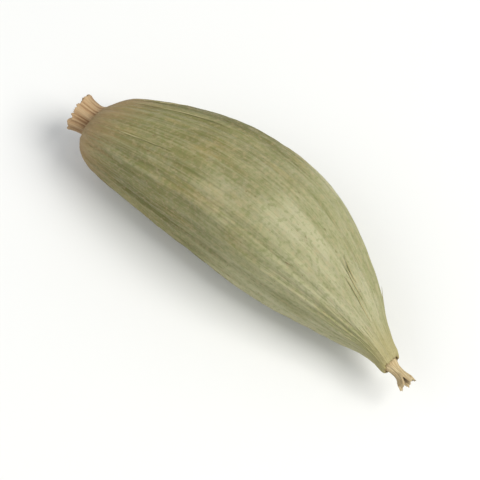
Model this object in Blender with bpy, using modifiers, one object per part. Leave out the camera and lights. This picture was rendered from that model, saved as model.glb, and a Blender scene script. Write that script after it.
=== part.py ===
"""A dried green cardamom pod: the ribbed three-sided capsule, the stub of its stalk and its withered flower.

Metres, +Z up. The pod lies on one of its three faces, on a small flat spot at z = 0, with the box round it
centred over the origin. Its long axis runs along X, with the stalk towards -X and the beaked tip towards +X.
"""

import math

import bmesh
import bpy
from mathutils import Vector

POD = "cardamom_pod"
MM = 0.001

# Capsule. Each point of a profile is a distance along the piece and a radius, both in mm, and the points
# share the way along the profile evenly. This one starts in the seat of the stalk, goes over the rim of the
# seat, along the body and the beak, and over its nose into the pit of the flower. The radius is from the
# axis to a face.
CAPSULE_PROFILE = (
    (0.40, 0),
    (0.36, 0.46),
    (0.18, 0.80),
    (0.00, 0.91),
    (0.08, 1.10),
    (0.52, 1.40),
    (1.40, 1.66),
    (2.85, 1.94),
    (4.60, 2.15),
    (6.40, 2.23),
    (8.10, 2.21),
    (9.60, 2.06),
    (10.90, 1.79),
    (12.10, 1.45),
    (13.10, 1.11),
    (13.90, 0.75),
    (14.60, 0.53),
    (15.05, 0.46),
    (15.20, 0.36),
    (15.05, 0.25),
    (14.85, 0),
)
CAPSULE_LENGTH = 15.2 * MM
FACE_RADIUS = 2.23 * MM
TWIST = math.radians(-8)

# How high the axis is at mid length, and how far the middle stands off the line between the two ends
AXIS_HEIGHT = 2.45 * MM
BOW_SIDEWAYS = 1.13 * MM
BOW_UPWARDS = 0.6 * MM

# The three rounded ridges: the angle from +Y round towards +Z, the height over a face as a share of the
# face's radius, and the sharpness. A shallow crease runs down the middle of each face between them.
RIDGES = (
    (math.radians(124), 0.27, 3.8),
    (math.radians(228), 0.24, 3.2),
    (math.radians(345), 0.30, 3.0),
)
CREASES = (math.radians(54), math.radians(176), math.radians(287))
CREASE_DEPTH = 0.03
CREASE_SHARPNESS = 60

# Ribs: each takes four meridians of the mesh, so that its crest and its valley both fall on one.
# They swell and fade in turn round the capsule.
RIBS = 24
MERIDIANS_PER_RIB = 4
RINGS = 60
RIB_DEPTH = 0.05 * MM
RIB_SWELLS = 5
RIB_SWELLING = 0.4

# Space left between the stalk or the flower and its seat in the capsule
PIECE_GAP = 0.2 * MM

# Stub of the stalk: a short woody tube, waisted, that opens towards its broken end
STUB_PROFILE = (
    (0, 0),
    (0.06, 0.45),
    (0.29, 0.64),
    (0.65, 0.64),
    (0.98, 0.70),
    (1.22, 0.78),
    (1.30, 0.70),
    (1.30, 0.54),
    (1.22, 0.46),
    (0.74, 0.46),
    (0.55, 0.32),
    (0.50, 0),
)
STUB_SIDES = 32
STUB_DIRECTION = Vector((-1, -0.16, 0.10)).normalized()

# Withered flower: a short throat with five lobes round a pit
FLOWER_PROFILE = (
    (0, 0),
    (0.04, 0.17),
    (0.45, 0.20),
    (0.85, 0.29),
    (1.20, 0.35),
    (0.75, 0),
)
FLOWER_LOBES = 5
FLOWER_LOBE_SPREAD = 0.20
FLOWER_LOBE_REACH = 0.24 * MM
FLOWER_LOBES_FULL_AT = 0.8
FLOWER_SIDES = 40
FLOWER_RINGS = 15
FLOWER_DIRECTION = Vector((1, -0.22, -0.06)).normalized()


def bump(angle, centre, sharpness):
    """1 at the centre angle, falling smoothly to both sides and repeating every turn."""
    return math.exp(sharpness * (math.cos(angle - centre) - 1))


def along_profile(profile, turn):
    """Distance and radius, in metres, this share of the way through a profile, on a smooth curve."""
    place = turn * (len(profile) - 1)
    start = min(int(place), len(profile) - 2)
    last = len(profile) - 1
    before, low, high, after = (Vector(profile[min(max(i, 0), last)]) for i in range(start - 1, start + 3))
    t = place - start
    bend = (2 * before - 5 * low + 4 * high - after) * t ** 2 + (3 * (low - high) + after - before) * t ** 3
    distance, radius = low + 0.5 * ((high - before) * t + bend)
    return distance * MM, radius * MM


def rib_height(angle, body):
    """How far the ribs raise the surface: they run out where the capsule is thin."""
    swelling = 1 + RIB_SWELLING * math.cos(RIB_SWELLS * angle)
    return RIB_DEPTH * swelling * math.cos(RIBS * angle) * body * min(1, 2 * body)


def on_capsule(turn, angle):
    """The point of the capsule: turn goes from 0 in the stalk's seat to 1 in the flower's pit."""
    distance, face_radius = along_profile(CAPSULE_PROFILE, turn)
    body = face_radius / FACE_RADIUS
    section = 1
    for ridge, height, sharpness in RIDGES:
        section += height * body * bump(angle, ridge, sharpness)
    for crease in CREASES:
        section -= CREASE_DEPTH * body * bump(angle, crease, CREASE_SHARPNESS)
    radius = face_radius * section + rib_height(angle, body)
    share = distance / CAPSULE_LENGTH
    off_middle = (2 * share - 1) ** 2
    twisted = angle + TWIST * (share - 0.5)
    y = radius * math.cos(twisted) - BOW_SIDEWAYS * off_middle
    z = radius * math.sin(twisted) - BOW_UPWARDS * off_middle + AXIS_HEIGHT
    return Vector((distance - CAPSULE_LENGTH / 2, y, max(0, z)))


def on_flower(turn, angle):
    """The point of the flower, along +X from its seat: turn goes from 0 at the seat to 1 in the pit."""
    distance, radius = along_profile(FLOWER_PROFILE, turn)
    lobe = (1 + math.cos(FLOWER_LOBES * angle)) / 2
    opening = min(1, turn / FLOWER_LOBES_FULL_AT) ** 2
    radius *= 1 + FLOWER_LOBE_SPREAD * opening * (2 * lobe - 1)
    distance -= FLOWER_LOBE_REACH * opening * (1 - lobe)
    return Vector((distance, radius * math.cos(angle), radius * math.sin(angle)))


def material(name, colour, roughness):
    """A matt plant surface of one colour."""
    made = bpy.data.materials.new(name)
    made.use_nodes = True
    shader = made.node_tree.nodes["Principled BSDF"]
    shader.inputs["Base Color"].default_value = (*colour, 1)
    shader.inputs["Roughness"].default_value = roughness
    shader.inputs["Metallic"].default_value = 0
    made.diffuse_color = (*colour, 1)
    return made


def piece(name, mesh, surface, holder, collection):
    """The object of one piece of the pod, held by the empty."""
    mesh.materials.append(surface)
    made = bpy.data.objects.new(name, mesh)
    made.parent = holder
    collection.objects.link(made)
    return made


def formed_mesh(name, meridians, rings, place):
    """A sphere's mesh with its axis along X, each vertex moved to its place by a formula."""
    shape = bmesh.new()
    bmesh.ops.create_uvsphere(shape, u_segments=meridians, v_segments=rings, radius=1)
    for vertex in shape.verts:
        across, up, along = vertex.co
        turn = math.acos(max(-1, min(1, -along))) / math.pi
        vertex.co = place(turn, math.atan2(up, across))
    mesh = bpy.data.meshes.new(name)
    shape.to_mesh(mesh)
    shape.free()
    mesh.shade_smooth()
    return mesh


def profile_mesh(name, profile):
    """A profile in the XZ plane, ready to be turned about Z: it runs from its last point to its first."""
    points = [(radius * MM, 0, distance * MM) for distance, radius in reversed(profile)]
    mesh = bpy.data.meshes.new(name)
    mesh.from_pydata(points, [(i, i + 1) for i in range(len(points) - 1)], [])
    return mesh


def turn_about_z(turned, sides):
    screw = turned.modifiers.new("Turn", "SCREW")
    screw.steps = sides
    screw.render_steps = sides
    screw.use_merge_vertices = True
    screw.merge_threshold = 0.000001
    screw.use_smooth_shade = True


def centre_over_origin(holder, objects):
    """Moves the holder until the box round the objects is centred over the origin, at the same height."""
    bpy.context.view_layer.update()
    graph = bpy.context.evaluated_depsgraph_get()
    points = []
    for each in objects:
        evaluated = each.evaluated_get(graph)
        points += [evaluated.matrix_world @ vertex.co for vertex in evaluated.to_mesh().vertices]
        evaluated.to_mesh_clear()
    for axis in (0, 1):
        values = [point[axis] for point in points]
        holder.location[axis] = -(min(values) + max(values)) / 2


for old in list(bpy.data.objects):
    bpy.data.objects.remove(old, do_unlink=True)

pieces = bpy.data.collections.new(POD)
bpy.context.scene.collection.children.link(pieces)
pod = bpy.data.objects.new("pod", None)
pieces.objects.link(pod)

husk_green = material("husk_green", (0.33, 0.34, 0.16), 0.65)
stalk_tan = material("stalk_tan", (0.45, 0.30, 0.17), 0.8)
flower_buff = material("flower_buff", (0.56, 0.46, 0.30), 0.85)

# Capsule
capsule_mesh = formed_mesh("capsule", RIBS * MERIDIANS_PER_RIB, RINGS, on_capsule)
capsule = piece("capsule", capsule_mesh, husk_green, pod, pieces)

# Stub of the stalk, in its seat
stalk_stub = piece("stalk_stub", profile_mesh("stalk_stub", STUB_PROFILE), stalk_tan, pod, pieces)
turn_about_z(stalk_stub, STUB_SIDES)
stalk_stub.location = on_capsule(0, 0) + PIECE_GAP * STUB_DIRECTION
stalk_stub.rotation_euler = STUB_DIRECTION.to_track_quat("Z", "Y").to_euler()

# Withered flower, in the nose of the beak
flower_mesh = formed_mesh("flower_remnant", FLOWER_SIDES, FLOWER_RINGS, on_flower)
flower_remnant = piece("flower_remnant", flower_mesh, flower_buff, pod, pieces)
flower_remnant.location = on_capsule(1, 0) + PIECE_GAP * FLOWER_DIRECTION
flower_remnant.rotation_euler = FLOWER_DIRECTION.to_track_quat("X", "Z").to_euler()

centre_over_origin(pod, (capsule, stalk_stub, flower_remnant))
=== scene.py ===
"""Looks of a dried green cardamom pod: its ribbed husk, the stub of its stalk and its withered flower.

Metres, in the frame of the solids. The pod lies along X, with its stalk towards -X and its beak towards +X.
"""

import math
import random

import bpy
from mathutils import Matrix, Vector, noise


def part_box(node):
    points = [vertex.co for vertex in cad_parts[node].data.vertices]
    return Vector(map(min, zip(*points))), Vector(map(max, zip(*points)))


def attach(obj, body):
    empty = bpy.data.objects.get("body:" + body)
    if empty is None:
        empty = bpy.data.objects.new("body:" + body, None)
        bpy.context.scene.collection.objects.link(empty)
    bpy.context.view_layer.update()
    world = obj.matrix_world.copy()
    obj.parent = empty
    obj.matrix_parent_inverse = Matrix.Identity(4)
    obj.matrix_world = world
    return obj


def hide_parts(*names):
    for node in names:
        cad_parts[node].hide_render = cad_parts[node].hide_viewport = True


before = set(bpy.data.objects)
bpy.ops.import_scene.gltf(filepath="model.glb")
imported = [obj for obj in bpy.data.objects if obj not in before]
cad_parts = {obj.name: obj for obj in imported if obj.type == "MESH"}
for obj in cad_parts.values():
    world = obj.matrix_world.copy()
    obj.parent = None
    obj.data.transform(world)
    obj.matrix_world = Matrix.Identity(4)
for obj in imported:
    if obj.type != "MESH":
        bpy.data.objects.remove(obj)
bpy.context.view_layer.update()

MM = 0.001

# Form of the capsule, as in the solid that the husk replaces. Each point of a profile is a distance along
# the piece and a radius, both in mm, and the points share the way along the profile evenly. This one starts
# in the seat of the stalk and goes over the rim of the seat, along the body and the beak, and over the nose
# into the pit of the flower.
CAPSULE_PROFILE = (
    (0.40, 0),
    (0.36, 0.46),
    (0.18, 0.80),
    (0.00, 0.91),
    (0.08, 1.10),
    (0.52, 1.40),
    (1.40, 1.66),
    (2.85, 1.94),
    (4.60, 2.15),
    (6.40, 2.23),
    (8.10, 2.21),
    (9.60, 2.06),
    (10.90, 1.79),
    (12.10, 1.45),
    (13.10, 1.11),
    (13.90, 0.75),
    (14.60, 0.53),
    (15.05, 0.46),
    (15.20, 0.36),
    (15.05, 0.25),
    (14.85, 0),
)
CAPSULE_LENGTH = 15.2 * MM
FACE_RADIUS = 2.23 * MM
TWIST = math.radians(-8)
AXIS_HEIGHT = 2.45 * MM
BOW_SIDEWAYS = 1.13 * MM
BOW_UPWARDS = 0.6 * MM

# The three ridges: the angle from +Y round towards +Z, the height as a share of the radius, the sharpness
RIDGES = (
    (math.radians(124), 0.27, 3.8),
    (math.radians(228), 0.24, 3.2),
    (math.radians(345), 0.30, 3.0),
)
CREASES = (math.radians(54), math.radians(176), math.radians(287))
CREASE_DEPTH = 0.03
CREASE_SHARPNESS = 60

# Relief of the husk. Each noise is how often it changes round the piece and along it, and a shift that
# makes it differ from the others.
RIBS = 24
RIB_HEIGHT = 0.056 * MM
RIB_SHARPNESS = 1.5
RIB_SWAY = 0.13
RIB_SWAY_NOISE = (1.3, 1.6, 7)
RIB_STRENGTH_NOISE = (3.5, 1.6, 3)
THREAD_HEIGHT = 0.038 * MM
THREAD_NOISE = (8, 2.2, 11)
FINE_THREAD_NOISE = (17, 4, 23)
CRINKLE_HEIGHT = 0.018 * MM
CRINKLE_NOISE = (14, 26, 31)
FINE_CRINKLE_NOISE = (30, 40, 5)
SWELL_HEIGHT = 0.09 * MM
SWELL_NOISE = (1.5, 4.5, 17)
SUTURE_DEPTH = 0.05 * MM
SUTURE_SHARPNESS = 900
SUTURE_SWAY = 0.05
NOSE_RAGGEDNESS = 0.16 * MM
NOSE_NOISE = (2.2, 0, 41)
FINE_NOSE_NOISE = (6, 0, 43)
HUSK_MERIDIANS = 400
HUSK_RINGS = 240

# Stub of the stalk. Each point of its profile is a distance from its seat and a radius, in mm: from inside
# the seat of the capsule, out along the stub, over the broken rim and down to the bottom of the hollow.
STUB_PROFILE = (
    (-0.24, 0),
    (-0.18, 0.52),
    (-0.04, 0.78),
    (0.10, 0.87),
    (0.22, 0.83),
    (0.34, 0.70),
    (0.55, 0.64),
    (0.85, 0.67),
    (1.10, 0.73),
    (1.24, 0.77),
    (1.30, 0.71),
    (1.24, 0.55),
    (1.05, 0.47),
    (0.75, 0.44),
    (0.52, 0.34),
    (0.48, 0),
)
STUB_RIM_AT = 10 / 15
STUB_RAGGEDNESS = 0.30 * MM
STUB_RAGGED_NOISE = (2.6, 0, 6)
STUB_FINE_RAGGED_NOISE = (9, 0, 8)
STUB_OVAL = 0.05
STUB_DENTS = 0.05
STUB_DENT_NOISE = (1.2, 2, 4)
STUB_FIBRE_HEIGHT = 0.045 * MM
STUB_FIBRE_NOISE = (4.5, 0.9, 2)
STUB_FINE_FIBRE_NOISE = (11, 2, 9)
STUB_MERIDIANS = 140
STUB_RINGS = 96
STUB_DIRECTION = Vector((-1, -0.16, 0.10)).normalized()

# Withered flower: a throat with five papery lobes round a pit, its profile given as the stub's is
FLOWER_PROFILE = (
    (-0.22, 0),
    (-0.12, 0.24),
    (0.04, 0.30),
    (0.16, 0.28),
    (0.34, 0.22),
    (0.58, 0.20),
    (0.85, 0.24),
    (1.08, 0.30),
    (1.20, 0.31),
    (1.16, 0.26),
    (0.92, 0.17),
    (0.72, 0.10),
    (0.68, 0),
)
FLOWER_RIM_AT = 8 / 12
FLOWER_LOBES = 5
FLOWER_LOBE_SPREAD = 0.14
FLOWER_LOBE_REACH = 0.22 * MM
FLOWER_LOBE_SWAY = 0.35
FLOWER_LOBE_NOISE = (0.9, 0, 27)
FLOWER_CRUMPLE = 0.08 * MM
FLOWER_CRUMPLE_NOISE = (2.4, 5, 3)
FLOWER_FINE_CRUMPLE_NOISE = (6, 9, 5)
FLOWER_VEIN_HEIGHT = 0.035 * MM
FLOWER_VEIN_NOISE = (6, 2.4, 12)
FLOWER_TEAR = 0.22 * MM
FLOWER_TEAR_NOISE = (7, 0, 21)
FLOWER_DIRECTION = Vector((1, -0.22, -0.06)).normalized()
FLOWER_MERIDIANS = 120
FLOWER_RINGS = 90

# How far the foot of the flower stands off its axis, to be in the middle of the nose
FLOWER_FOOT_SHIFT = Vector((0, -0.07, -0.05)) * MM
FLOWER_FOOT_LENGTH = 0.8 * MM

# Space between the seats in the capsule and what stands in them
PIECE_GAP = 0.2 * MM

# Loose slivers of husk. The ranges are for the place along the capsule's profile where one starts, near
# the stalk or near the beak, its run along the profile, its angle round the capsule, and the lift in mm and
# the stray of its free end. Width and thickness are halves.
FIBRE_SEED = 11
HUSK_FIBRES = 10
HUSK_FIBRE_WIDTH = 0.026 * MM
HUSK_FIBRE_THICKNESS = 0.010 * MM
HUSK_FIBRE_CLEARANCE = 0.012 * MM
STARTS_NEAR_STALK = (0.25, 0.36)
STARTS_NEAR_BEAK = (0.62, 0.74)
HUSK_FIBRE_RUNS = (0.04, 0.10)
HUSK_FIBRE_ANGLES = (math.radians(-40), math.radians(150))
HUSK_FIBRE_LIFTS = (0.03, 0.10)
HUSK_FIBRE_STRAYS = (-0.10, 0.10)

# Broken fibres of the stalk, at its rim or in its hollow: the ranges for their two ends, their distance
# from the axis, and how far they stray from it, all in mm. The width is a half.
STUB_FIBRES = 26
STUB_FIBRE_WIDTH = 0.022 * MM
SHARE_AT_RIM = 0.4
STARTS_AT_RIM = (0.95, 1.02)
STARTS_IN_HOLLOW = (0.70, 0.85)
STUB_FIBRE_ENDS = (1.12, 1.24)
RADIUS_AT_RIM = 0.60
RADIUS_IN_HOLLOW = 0.42
STUB_FIBRE_STRAYS = (-0.12, 0.04)

# Floor, light and camera
FLOOR_SIZE = 0.8
FLOOR_ROUGHNESS = 0.7
SKY_TINT = (0.93, 0.96, 1.0, 1)
SKY_STRENGTH = 0.55
KEY_TINT = (1, 0.985, 0.96)
CAMERA_AZIMUTH = math.radians(42.5)
CAMERA_ELEVATION = math.radians(62)
CAMERA_LENS_MM = 200
CAMERA_SENSOR_MM = 36
FRAME_WIDTH = 18.4 * MM
AIM = Vector((-0.2, -1.1, 1.6)) * MM


def smooth(low, high, value):
    """0 at low, 1 at high, and a soft step between them."""
    share = min(1, max(0, (value - low) / (high - low)))
    return share * share * (3 - 2 * share)


def bump(angle, centre, sharpness):
    """1 at the centre angle, falling smoothly to both sides and repeating every turn."""
    return math.exp(sharpness * (math.cos(angle - centre) - 1))


def along_profile(profile, turn):
    """Distance and radius, in metres, this share of the way through a profile, on a smooth curve."""
    place = turn * (len(profile) - 1)
    start = min(int(place), len(profile) - 2)
    before, low, high, after = (
        Vector(profile[min(max(i, 0), len(profile) - 1)]) for i in range(start - 1, start + 3)
    )
    t = place - start
    bend = (2 * before - 5 * low + 4 * high - after) * t * t + (3 * (low - high) + after - before) * t ** 3
    distance, radius = low + 0.5 * ((high - before) * t + bend)
    return distance * MM, max(0, radius) * MM


def skin_place(angle, share, across=1.0, along=1.0, shift=0.0):
    """Where a point of the skin lies in a noise that joins up all round."""
    return Vector((across * math.cos(angle) + shift, across * math.sin(angle), along * share + shift))


def ridged(place):
    """Noise with narrow crests: 1 on a crest, towards 0 between crests."""
    return 1 - min(1, 2.2 * abs(noise.noise(place)))


def rib_crest(angle, share):
    """Height of the main ribs, from 0 in a valley to 1 on a crest. They wander and each differs."""
    sway = RIB_SWAY * noise.noise(skin_place(angle, share, *RIB_SWAY_NOISE))
    wave = (1 + math.cos(RIBS * (angle + sway))) / 2
    strength = 0.62 + 0.55 * noise.noise(skin_place(angle, share, *RIB_STRENGTH_NOISE))
    return wave ** RIB_SHARPNESS * max(0.1, strength)


def husk_point(turn, angle):
    """A point of the husk, with its ribs' height, the share along the pod and whether it lies in a seat."""
    distance, face_radius = along_profile(CAPSULE_PROFILE, turn)
    share = distance / CAPSULE_LENGTH
    body = face_radius / FACE_RADIUS
    section = 1
    suture = 0
    for ridge, height, sharpness in RIDGES:
        section += height * body * bump(angle, ridge, sharpness)
    for crease in CREASES:
        section -= CREASE_DEPTH * body * bump(angle, crease, CREASE_SHARPNESS)
        line = crease + SUTURE_SWAY * noise.noise(Vector((crease, 0, 4 * share)))
        suture += bump(angle, line, SUTURE_SHARPNESS)
    fade = body * min(1, 2 * body)
    ribs = rib_crest(angle, share)
    threads = ridged(skin_place(angle, share, *THREAD_NOISE))
    fine_threads = ridged(skin_place(angle, share, *FINE_THREAD_NOISE))
    crinkle = noise.noise(skin_place(angle, share, *CRINKLE_NOISE))
    crinkle += noise.noise(skin_place(angle, share, *FINE_CRINKLE_NOISE))
    swell = noise.noise(skin_place(angle, share, *SWELL_NOISE))
    relief = RIB_HEIGHT * (ribs - 0.5) * fade
    relief += THREAD_HEIGHT * (threads + 0.5 * fine_threads - 0.75) * min(1, 1.6 * body)
    relief += CRINKLE_HEIGHT * crinkle * (1 - 0.5 * ribs)
    relief += SWELL_HEIGHT * swell * body
    relief -= SUTURE_DEPTH * suture * fade
    radius = face_radius * section + relief * min(1, 4 * body)
    at_nose = smooth(0.80, 0.90, turn)
    ragged = abs(noise.noise(skin_place(angle, 0, *NOSE_NOISE)))
    ragged += 0.5 * abs(noise.noise(skin_place(angle, 0, *FINE_NOSE_NOISE)))
    distance -= NOSE_RAGGEDNESS * ragged * at_nose * (1 - smooth(0.92, 1, turn))
    in_seats = max(1 - smooth(0.10, 0.20, turn), smooth(0.86, 0.93, turn))
    off_middle = (2 * share - 1) ** 2
    twisted = angle + TWIST * (share - 0.5)
    y = radius * math.cos(twisted) - BOW_SIDEWAYS * off_middle
    z = radius * math.sin(twisted) - BOW_UPWARDS * off_middle + AXIS_HEIGHT
    crest = 0.6 * ribs + 0.3 * threads + 0.1 * fine_threads - 0.6 * suture
    point = Vector((distance - CAPSULE_LENGTH / 2, y, max(0, z)))
    return point, {"crest": crest, "along": share, "hollow": in_seats}


def stub_point(turn, angle):
    """A point of the stub, along +X from its seat, with its fibres' height and its depth in the hollow."""
    distance, radius = along_profile(STUB_PROFILE, turn)
    in_hollow = smooth(STUB_RIM_AT - 0.02, STUB_RIM_AT + 0.16, turn)
    near_rim = smooth(STUB_RIM_AT - 0.22, STUB_RIM_AT, turn)
    near_rim *= 1 - smooth(STUB_RIM_AT, STUB_RIM_AT + 0.2, turn)
    fibres = ridged(skin_place(angle, turn, *STUB_FIBRE_NOISE))
    fine_fibres = ridged(skin_place(angle, turn, *STUB_FINE_FIBRE_NOISE))
    oval = 1 + STUB_OVAL * math.cos(2 * angle + 1)
    radius *= oval * (1 + STUB_DENTS * noise.noise(skin_place(angle, turn, *STUB_DENT_NOISE)))
    if radius > 0:
        radius += STUB_FIBRE_HEIGHT * (0.7 * fibres + 0.3 * fine_fibres - 0.6) * smooth(0, 0.2 * MM, radius)
    ragged = abs(noise.noise(skin_place(angle, 0, *STUB_RAGGED_NOISE)))
    ragged += 0.8 * abs(noise.noise(skin_place(angle, 0, *STUB_FINE_RAGGED_NOISE)))
    distance -= STUB_RAGGEDNESS * ragged * near_rim
    point = Vector((distance, radius * math.cos(angle), radius * math.sin(angle)))
    return point, {"crest": 0.7 * fibres + 0.3 * fine_fibres, "hollow": in_hollow, "rim": near_rim}


def flower_point(turn, angle):
    """A point of the flower, along +X from its seat, with its veins' height and how near the rim it is."""
    distance, radius = along_profile(FLOWER_PROFILE, turn)
    uneven = noise.noise(skin_place(angle, 0, *FLOWER_LOBE_NOISE))
    lobe = (1 + math.cos(FLOWER_LOBES * (angle + FLOWER_LOBE_SWAY * uneven))) / 2
    opening = smooth(0.35, FLOWER_RIM_AT, turn)
    in_pit = smooth(FLOWER_RIM_AT, FLOWER_RIM_AT + 0.2, turn)
    crumple = noise.noise(skin_place(angle, turn, *FLOWER_CRUMPLE_NOISE))
    crumple += 0.5 * noise.noise(skin_place(angle, turn, *FLOWER_FINE_CRUMPLE_NOISE))
    veins = ridged(skin_place(angle, turn, *FLOWER_VEIN_NOISE))
    relief = FLOWER_CRUMPLE * crumple * opening + FLOWER_VEIN_HEIGHT * (veins - 0.5)
    radius *= 1 + FLOWER_LOBE_SPREAD * opening * (2 * lobe - 1)
    radius += relief * smooth(0, 0.15 * MM, radius)
    distance -= FLOWER_LOBE_REACH * opening * (1 - lobe) * (1 + 1.2 * uneven)
    distance -= FLOWER_TEAR * abs(noise.noise(skin_place(angle, 0, *FLOWER_TEAR_NOISE))) * opening
    point = Vector((distance, radius * math.cos(angle), radius * math.sin(angle)))
    point += FLOWER_FOOT_SHIFT * (1 - smooth(0, FLOWER_FOOT_LENGTH, distance))
    return point, {"crest": veins, "hollow": in_pit, "rim": opening * (1 - in_pit)}


def laid_out(name, points, faces, skin, values=()):
    """A piece of these points and faces, which keeps its skin places and other values for its finish."""
    mesh = bpy.data.meshes.new(name)
    mesh.from_pydata(points, [], faces)
    mesh.attributes.new("skin", "FLOAT_VECTOR", "POINT").data.foreach_set("vector", skin)
    for value_name, numbers in dict(values).items():
        mesh.attributes.new(value_name, "FLOAT", "POINT").data.foreach_set("value", numbers)
    mesh.shade_smooth()
    made = bpy.data.objects.new(name, mesh)
    bpy.context.scene.collection.objects.link(made)
    return made


def formed(name, meridians, rings, place):
    """A closed skin round the X axis, from one pole through rings of vertices to the other pole.

    place(turn, angle) gives each vertex's point and its values for the finish.
    """
    points, skin, values = [], [], {}
    for ring in range(rings + 1):
        turn = ring / rings
        for meridian in range(meridians if 0 < ring < rings else 1):
            angle = math.tau * meridian / meridians
            point, named_values = place(turn, angle)
            points.append(point)
            skin.extend(skin_place(angle, named_values.get("along", turn)))
            for value_name, value in named_values.items():
                values.setdefault(value_name, []).append(value)
    last = len(points) - 1
    faces = []
    for meridian in range(meridians):
        following = (meridian + 1) % meridians
        faces.append((0, 1 + following, 1 + meridian))
        for start in range(1, last - meridians, meridians):
            near = (start + meridian, start + following)
            faces.append((*near, near[1] + meridians, near[0] + meridians))
        faces.append((last, last - meridians + meridian, last - meridians + following))
    return laid_out(name, points, faces, skin, values)


def strands(name, paths, sides=6):
    """Thin closed strands in one piece.

    A path is a list of stations: the middle, and half the width and the thickness as vectors across it.
    """
    points, skin, faces = [], [], []
    for path in paths:
        start = len(points)
        for middle, wide, thin in path:
            for side in range(sides):
                angle = math.tau * side / sides
                point = middle + wide * math.cos(angle) + thin * math.sin(angle)
                points.append(point)
                skin.extend(point / (2 * MM))
        end = len(points) - sides
        for low in range(start, end, sides):
            for side in range(sides):
                following = (side + 1) % sides
                faces.append((low + side, low + following, low + sides + following, low + sides + side))
        faces.append([start + side for side in reversed(range(sides))])
        faces.append([end + side for side in range(sides)])
    return laid_out(name, points, faces, skin)


def husk_fibre(chance):
    """A sliver of husk near the stalk or the beak that has come loose along a rib and lifts at one end."""
    near_stalk = chance.random() < 0.5
    first = chance.uniform(*(STARTS_NEAR_STALK if near_stalk else STARTS_NEAR_BEAK))
    length = chance.uniform(*HUSK_FIBRE_RUNS) * (1 if near_stalk else -1)
    angle = chance.uniform(*HUSK_FIBRE_ANGLES)
    lift = chance.uniform(*HUSK_FIBRE_LIFTS) * MM
    stray = chance.uniform(*HUSK_FIBRE_STRAYS)
    path = []
    for station in range(9):
        t = station / 8
        turn, at = first + length * t, angle + stray * t * t
        here = husk_point(turn, at)[0]
        ahead = (husk_point(turn + 0.01, at)[0] - here).normalized()
        across = (husk_point(turn, at + 0.02)[0] - here).normalized()
        outward = across.cross(ahead) if length > 0 else ahead.cross(across)
        outward = outward if outward.dot(here - Vector((here.x, 0, AXIS_HEIGHT))) > 0 else -outward
        full = math.sin(math.pi * (0.06 + 0.9 * t)) ** 0.6
        forward = ahead if length > 0 else -ahead
        wide = outward.cross(forward).normalized() * HUSK_FIBRE_WIDTH * full
        middle = here + outward * (HUSK_FIBRE_CLEARANCE + lift * t * t)
        path.append((middle, wide, outward * HUSK_FIBRE_THICKNESS * full))
    return path


def stub_fibre(chance):
    """A broken fibre of the stalk, along +X from its seat, in the hollow or at the rim."""
    at_rim = chance.random() < SHARE_AT_RIM
    angle = chance.uniform(0, math.tau)
    first = chance.uniform(*(STARTS_AT_RIM if at_rim else STARTS_IN_HOLLOW))
    last = chance.uniform(*STUB_FIBRE_ENDS)
    radius = RADIUS_AT_RIM if at_rim else RADIUS_IN_HOLLOW
    stray = chance.uniform(*STUB_FIBRE_STRAYS)
    path = []
    for station in range(6):
        t = station / 5
        turned = angle + 0.3 * t * stray
        outward = Vector((0, math.cos(turned), math.sin(turned)))
        middle = Vector(((first + (last - first) * t) * MM, 0, 0)) + outward * (radius + stray * t * t) * MM
        full = STUB_FIBRE_WIDTH * (1 - 0.75 * t)
        path.append((middle, outward * full, Vector((1, 0, 0)).cross(outward) * full))
    return path


def box_of(points):
    """The lowest and highest corners of the box round these points."""
    low = Vector(min(point[axis] for point in points) for axis in range(3))
    high = Vector(max(point[axis] for point in points) for axis in range(3))
    return low, high


def fit_between(low, high, new_low, new_high):
    """The matrix that stretches one box onto another."""
    stretch = [(new_high[i] - new_low[i]) / (high[i] - low[i]) for i in range(3)]
    scale = Matrix.Diagonal((*stretch, 1))
    return Matrix.Translation(new_low) @ scale @ Matrix.Translation(-low)


def seated(seat, direction):
    """The matrix that puts the X axis of a piece on its seat, pointing in this direction."""
    turned = direction.to_track_quat("X", "Z").to_matrix().to_4x4()
    return Matrix.Translation(seat + PIECE_GAP * direction) @ turned


def colour(red, green, blue):
    """A linear colour for one that is given as it looks, each part from 0 to 255."""
    parts = (part / 255 for part in (red, green, blue))
    return (*(((part + 0.055) / 1.055) ** 2.4 if part > 0.04 else part / 12.92 for part in parts), 1)


class Link:
    """A value that runs through a finish. A sum of links adds the nodes that work it out."""

    def __init__(self, finish, socket):
        self.finish = finish
        self.socket = socket

    def worked(self, operation, first, second):
        return self.finish.node("Math", {"operation": operation}, {0: first, 1: second})

    def __add__(self, other):
        return self.worked("ADD", self, other)

    def __sub__(self, other):
        return self.worked("SUBTRACT", self, other)

    def __rsub__(self, other):
        return self.worked("SUBTRACT", other, self)

    def __mul__(self, other):
        return self.worked("MULTIPLY", self, other)

    __radd__ = __add__
    __rmul__ = __mul__


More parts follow.
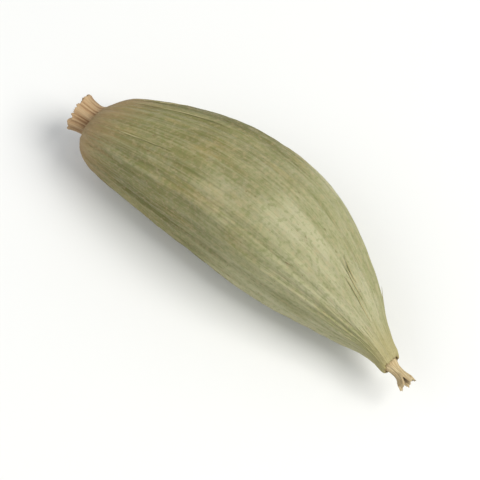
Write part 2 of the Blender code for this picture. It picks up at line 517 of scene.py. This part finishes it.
class Finish:
    """A material of the pod, with the nodes that vary its colour, gloss and grain."""

    def __init__(self, name, specular):
        self.material = bpy.data.materials.new(name)
        self.material.use_nodes = True
        self.tree = self.material.node_tree
        self.shader = self.tree.nodes["Principled BSDF"]
        self.shader.inputs["Specular IOR Level"].default_value = specular
        self.skin = self.node("Attribute", {"attribute_name": "skin"}, output="Vector")

    def node(self, kind, settings=None, sockets=None, output=0):
        """One output of a new node. Its settings are set first, then its sockets take values or links."""
        made = self.tree.nodes.new("ShaderNode" + kind)
        for name, value in (settings or {}).items():
            setattr(made, name, value)
        for name, value in (sockets or {}).items():
            self.feed(made.inputs[name], value)
        return Link(self, made.outputs[output])

    def feed(self, socket, value):
        if isinstance(value, Link):
            self.tree.links.new(value.socket, socket)
        else:
            socket.default_value = value

    def value(self, name):
        """A value that the mesh keeps for each vertex."""
        return self.node("Attribute", {"attribute_name": name}, output="Fac")

    def mottle(self, across, along, detail=3, roughness=0.55):
        """Noise on the skin, from 0 to 1, with this many spots across a radius and along the piece."""
        spots = (across, across, along)
        place = self.node("VectorMath", {"operation": "MULTIPLY"}, {0: self.skin, 1: spots})
        sockets = {"Vector": place, "Scale": 1, "Detail": detail, "Roughness": roughness}
        return self.node("TexNoise", {"normalize": True}, sockets, output="Fac")

    def step(self, value, low, high):
        """0 where the value is at low, 1 where it is at high, and a soft step between them."""
        sockets = {"Value": value, "From Min": low, "From Max": high}
        return self.node("MapRange", {"interpolation_type": "SMOOTHSTEP"}, sockets)

    def mix(self, share, low, high):
        """A blend of two colours."""
        return self.node("Mix", {"data_type": "RGBA"}, {0: share, 6: low, 7: high}, output=2)

    def grain(self, height, depth, strength=1.0):
        """Fine relief that is only seen in the light on it, this deep in metres."""
        return self.node("Bump", {}, {"Height": height, "Distance": depth, "Strength": strength})

    def show(self, base_color, roughness, normal):
        self.feed(self.shader.inputs["Base Color"], base_color)
        self.feed(self.shader.inputs["Roughness"], roughness)
        self.feed(self.shader.inputs["Normal"], normal)
        return self.material


def husk_finish():
    """Dry green husk: pale towards the beak, olive towards the stalk, tan at the seat, straw on the ribs,
    painted shade in the valleys.
    """
    finish = Finish("green_husk", specular=0.3)
    crest = finish.value("crest")
    along = finish.value("along")
    patches = finish.step(finish.mottle(1.6, 4.5, detail=4), 0.36, 0.64)
    threads = finish.mottle(38, 6, detail=4, roughness=0.65)
    dust = finish.step(finish.mottle(5, 22, detail=5, roughness=0.75), 0.48, 0.70)

    olive = finish.mix(patches, colour(106, 101, 54), colour(134, 129, 80))
    pale = finish.mix(patches, colour(148, 147, 102), colour(176, 173, 135))
    drift = finish.mottle(1.3, 5, detail=3)
    towards_beak = finish.step(along + 0.35 * (drift - 0.5), 0.30, 0.62)
    green = finish.mix(towards_beak, olive, pale)
    ochre = finish.step(finish.mottle(2.4, 5, detail=4, roughness=0.6), 0.52, 0.68)
    green = finish.mix(ochre * (0.5 - 0.35 * towards_beak), green, colour(164, 142, 84))
    # Painted shade: the valleys between the ribs and along the sutures are darkened.
    green = finish.mix(finish.step(crest, 0.45, 0.05) * 0.19, green, colour(92, 92, 50))
    green = finish.mix(finish.step(crest, 0.35, 0.85) * 0.16, green, colour(182, 177, 136))
    green = finish.mix(finish.step(threads, 0.42, 0.70) * 0.28, green, colour(182, 178, 142))
    green = finish.mix(finish.step(threads, 0.48, 0.28) * 0.30, green, colour(98, 98, 54))
    speckle = finish.mottle(16, 84, detail=3, roughness=0.6)
    green = finish.mix(finish.step(speckle, 0.50, 0.68) * 0.34, green, colour(180, 162, 122))
    green = finish.mix(finish.step(speckle, 0.50, 0.34) * 0.40, green, colour(114, 123, 66))
    green = finish.mix(dust * 0.22, green, colour(174, 168, 144))

    blush = finish.mottle(4.0, 9, detail=4, roughness=0.6)
    at_stalk = finish.step(along + 0.16 * blush + 0.20 * threads, 0.34, 0.17)
    green = finish.mix(at_stalk * 0.70, green, colour(166, 136, 98))
    at_beak = finish.step(along + 0.08 * blush + 0.10 * threads, 0.97, 1.10)
    green = finish.mix(at_beak * 0.5, green, colour(186, 170, 112))

    specks = finish.step(finish.mottle(22, 60, detail=2), 0.67, 0.74)
    blotches = finish.step(finish.mottle(6, 16, detail=5, roughness=0.7), 0.63, 0.74)
    skin = finish.mix(specks * 0.50 + blotches * 0.30, green, colour(108, 82, 48))
    skin = finish.mix(finish.value("hollow") * 0.8, skin, colour(118, 90, 58))

    roughness = 0.68 - 0.12 * crest + 0.16 * (threads - 0.5)
    fine = finish.mottle(60, 110, detail=4, roughness=0.7)
    return finish.show(skin, roughness, finish.grain(threads + 0.8 * fine, 0.03 * MM, 0.7))


def fibre_finish():
    """Loose papery fibres of the husk: straw, with greener stretches."""
    finish = Finish("straw_fibre", specular=0.25)
    stretches = finish.mottle(1.5, 1.5, detail=2)
    straw = finish.mix(finish.step(stretches, 0.35, 0.65), colour(138, 134, 88), colour(180, 170, 126))
    return finish.show(straw, 0.75 + 0.1 * stretches, finish.grain(stretches, 0.01 * MM, 0.5))


def stalk_finish():
    """Dry stalk: tan fibres with a paler broken rim, and painted shade that darkens its hollow to dark
    brown.
    """
    finish = Finish("tan_stalk", specular=0.25)
    crest = finish.value("crest")
    streaks = finish.mottle(16, 3, detail=4, roughness=0.7)
    tan = finish.mix(finish.step(streaks, 0.35, 0.7), colour(134, 102, 70), colour(186, 156, 116))
    tan = finish.mix(finish.step(crest, 0.3, 0.9) * 0.5, tan, colour(204, 180, 142))
    tan = finish.mix(finish.value("rim") * 0.55, tan, colour(200, 170, 132))
    # Painted shade: the inside of the broken stalk's hollow is darkened to dark brown.
    tan = finish.mix(finish.value("hollow"), tan, colour(62, 44, 32))
    return finish.show(tan, 0.70 + 0.2 * streaks, finish.grain(streaks, 0.03 * MM, 0.8))


def flower_finish():
    """Withered flower: buff, papery and thinly veined, brown towards the edge, with painted shade darkening
    its throat.
    """
    finish = Finish("buff_flower", specular=0.25)
    veins = finish.value("crest")
    streaks = finish.mottle(12, 6, detail=4, roughness=0.7)
    buff = finish.mix(finish.step(streaks, 0.35, 0.7), colour(184, 162, 120), colour(224, 210, 170))
    buff = finish.mix(finish.step(veins, 0.4, 0.9) * 0.35, buff, colour(160, 128, 86))
    buff = finish.mix(finish.value("rim") * 0.20, buff, colour(150, 116, 76))
    # Painted shade: the pit in the flower's throat is darkened to dark brown.
    buff = finish.mix(finish.value("hollow") * 0.8, buff, colour(84, 60, 40))
    return finish.show(buff, 0.72 + 0.15 * streaks, finish.grain(streaks, 0.02 * MM, 0.7))


def dress(piece, material):
    """Gives a finished piece its material and fastens it to the pod."""
    piece.data.materials.append(material)
    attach(piece, "root")


def seen_from(azimuth, elevation):
    """The direction from the pod towards someone who looks at it from this azimuth and elevation."""
    return Vector((
        math.sin(azimuth) * math.cos(elevation),
        -math.cos(azimuth) * math.cos(elevation),
        math.sin(elevation),
    ))


def area_light(name, azimuth, elevation, distance, size, power, tint=(1, 1, 1)):
    """A soft square light that looks at the pod from this direction."""
    back = seen_from(math.radians(azimuth), math.radians(elevation))
    data = bpy.data.lights.new(name, "AREA")
    data.size = size
    data.energy = power
    data.color = tint
    light = bpy.data.objects.new(name, data)
    light.location = AIM + back * distance
    light.rotation_euler = (-back).to_track_quat("-Z", "Y").to_euler()
    bpy.context.scene.collection.objects.link(light)


# Husk
husk = formed("husk", HUSK_MERIDIANS, HUSK_RINGS, husk_point)
husk_box = box_of([vertex.co for vertex in husk.data.vertices])
to_solid = fit_between(*husk_box, *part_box("capsule"))
husk.data.transform(to_solid)
dress(husk, husk_finish())
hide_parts("capsule")

# Stub of the stalk, in its seat
to_seat = seated(to_solid @ husk_point(0, 0)[0], STUB_DIRECTION)
stub = formed("broken_stalk", STUB_MERIDIANS, STUB_RINGS, stub_point)
stub.data.transform(to_seat)
stalk_tan = stalk_finish()
dress(stub, stalk_tan)
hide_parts("stalk_stub")

# Withered flower, in its pit
flower = formed("withered_flower", FLOWER_MERIDIANS, FLOWER_RINGS, flower_point)
flower.data.transform(seated(to_solid @ husk_point(1, 0)[0], FLOWER_DIRECTION))
dress(flower, flower_finish())
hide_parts("flower_remnant")

# Frayed fibres on the husk and in the broken stalk
chance = random.Random(FIBRE_SEED)
husk_fibres = strands("husk_fibres", [husk_fibre(chance) for _ in range(HUSK_FIBRES)])
husk_fibres.data.transform(to_solid)
dress(husk_fibres, fibre_finish())
stub_fibres = strands("stalk_fibres", [stub_fibre(chance) for _ in range(STUB_FIBRES)])
stub_fibres.data.transform(to_seat)
dress(stub_fibres, stalk_tan)

# Floor, light and camera
floor_mesh = bpy.data.meshes.new("floor")
half = FLOOR_SIZE / 2
corners = [(-half, -half, 0), (half, -half, 0), (half, half, 0), (-half, half, 0)]
floor_mesh.from_pydata(corners, [], [(0, 1, 2, 3)])
floor = bpy.data.objects.new("floor", floor_mesh)
bpy.context.scene.collection.objects.link(floor)
floor_material = bpy.data.materials.new("pale_floor")
floor_material.use_nodes = True
floor_shader = floor_material.node_tree.nodes["Principled BSDF"]
floor_shader.inputs["Base Color"].default_value = colour(236, 236, 233)
floor_shader.inputs["Roughness"].default_value = FLOOR_ROUGHNESS
floor_mesh.materials.append(floor_material)

world = bpy.data.worlds.new("studio")
world.use_nodes = True
sky = world.node_tree.nodes["Background"]
sky.inputs["Color"].default_value = SKY_TINT
sky.inputs["Strength"].default_value = SKY_STRENGTH
bpy.context.scene.world = world

area_light("key", azimuth=110, elevation=52, distance=0.30, size=0.16, power=0.75, tint=KEY_TINT)
area_light("fill", azimuth=-40, elevation=45, distance=0.35, size=0.25, power=0.20)

back = seen_from(CAMERA_AZIMUTH, CAMERA_ELEVATION)
camera_data = bpy.data.cameras.new("camera")
camera_data.lens = CAMERA_LENS_MM
camera_data.sensor_width = CAMERA_SENSOR_MM
camera_data.clip_start = 0.001
camera_data.clip_end = 10
camera = bpy.data.objects.new("camera", camera_data)
camera.location = AIM + back * (FRAME_WIDTH * CAMERA_LENS_MM / CAMERA_SENSOR_MM)
camera.rotation_euler = (-back).to_track_quat("-Z", "Y").to_euler()
bpy.context.scene.collection.objects.link(camera)
bpy.context.scene.camera = camera
bpy.context.scene.view_settings.view_transform = "Standard"
